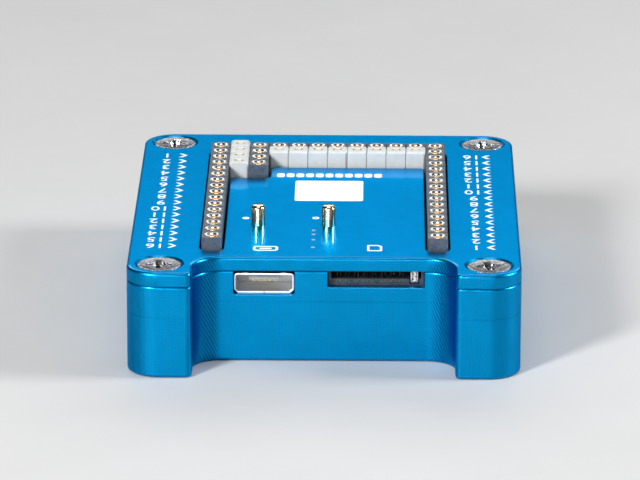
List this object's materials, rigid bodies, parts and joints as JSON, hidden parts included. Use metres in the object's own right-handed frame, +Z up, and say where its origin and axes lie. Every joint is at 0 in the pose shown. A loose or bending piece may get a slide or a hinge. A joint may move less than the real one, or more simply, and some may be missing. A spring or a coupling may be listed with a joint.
{
  "type": "microcontroller board in a metal case",
  "caption": "Microcontroller board with socket headers, a USB port, a card slot and push plungers, closed in a blue anodised milled case with a screwed lid.",
  "frame": {"origin": "centre of the case's underside", "axes": "+Z up out of the lid, +Y away from the connector side, +X to the right when the connector side faces the viewer"},
  "size_m": [0.0484, 0.059, 0.0161],
  "materials": {
    "anodised": "satin blue anodised over fine milling marks",
    "screw_steel": "plain zinc-plated steel, lightly speckled",
    "clear_resin": "clear resin, slightly milky",
    "board_laminate": "dark solder mask over glass epoxy",
    "black_plastic": "moulded black, slight sheen",
    "white_plastic": "moulded white, slight sheen",
    "socket_plastic": "glass-filled black moulding",
    "gold_contact": "gold flash over copper alloy",
    "plated_sleeve": "turned brass with bright tin plating",
    "solder": "bright tin solder",
    "chip_epoxy": "moulded epoxy package",
    "tinned_lead": "tin-plated sheet",
    "ceramic_chip": "fired ceramic with tinned ends",
    "light_chip": "clear cast chip light",
    "brass": "turned brass, polished",
    "spring_steel": "stainless spring sheet and wire",
    "shell_steel": "nickel-plated sheet"
  },
  "bodies": {
    "case": {"base_tray": "anodised", "lid": "anodised", "lid_screws": "screw_steel", "light_windows": "clear_resin", "circuit_board": "board_laminate", "left_header_housing": "black_plastic", "right_header_housing": "black_plastic", "aux_black_header_housing": "black_plastic", "rear_black_header_housing": "black_plastic", "aux_white_header_housing": "white_plastic", "rear_white_header_housing": "white_plastic", "left_header_sleeves": "plated_sleeve", "right_header_sleeves": "plated_sleeve", "aux_black_header_sleeves": "plated_sleeve", "rear_black_header_sleeves": "plated_sleeve", "left_header_clips": "gold_contact", "right_header_clips": "gold_contact", "aux_black_header_clips": "gold_contact", "rear_black_header_clips": "gold_contact", "aux_white_header_contacts": "gold_contact", "rear_white_header_contacts": "gold_contact", "header_solder_joints": "solder", "processor_body": "chip_epoxy", "processor_leads": "tinned_lead", "main_crystal": "tinned_lead", "clock_crystal": "chip_epoxy", "regulator_body": "chip_epoxy", "regulator_leads": "tinned_lead", "motion_sensor": "chip_epoxy", "ceramic_capacitors": "ceramic_chip", "chip_resistors": "chip_epoxy", "status_leds": "light_chip", "reset_switch_housing": "black_plastic", "user_switch_housing": "black_plastic", "reset_switch_plate": "tinned_lead", "user_switch_plate": "tinned_lead", "reset_switch_dome": "spring_steel", "user_switch_dome": "spring_steel", "usb_shell": "shell_steel", "usb_tongue": "socket_plastic", "usb_contacts": "gold_contact", "card_socket_body": "socket_plastic", "card_socket_cover": "shell_steel", "card_socket_contacts": "gold_contact", "card_slider_spring": "spring_steel"},
    "reset_button": {"reset_plunger": "brass", "reset_switch_stem": "black_plastic"},
    "user_button": {"user_plunger": "brass", "user_switch_stem": "black_plastic"},
    "card_ejector": {"card_slider": "shell_steel"}
  },
  "joints": [
    {"name": "reset_press", "type": "slide", "parent": "case", "child": "reset_button", "axis": [0, 0, -1], "range_m": [0, 0.00025], "stiffness_N_per_m": 1500, "deforming": ["reset_switch_dome"]},
    {"name": "user_press", "type": "slide", "parent": "case", "child": "user_button", "axis": [0, 0, -1], "range_m": [0, 0.00025], "stiffness_N_per_m": 1500, "deforming": ["user_switch_dome"]},
    {"name": "card_push", "type": "slide", "parent": "case", "child": "card_ejector", "axis": [0, 1, 0], "range_m": [0, 0.0036], "stiffness_N_per_m": 120, "deforming": ["card_slider_spring"]}
  ]
}
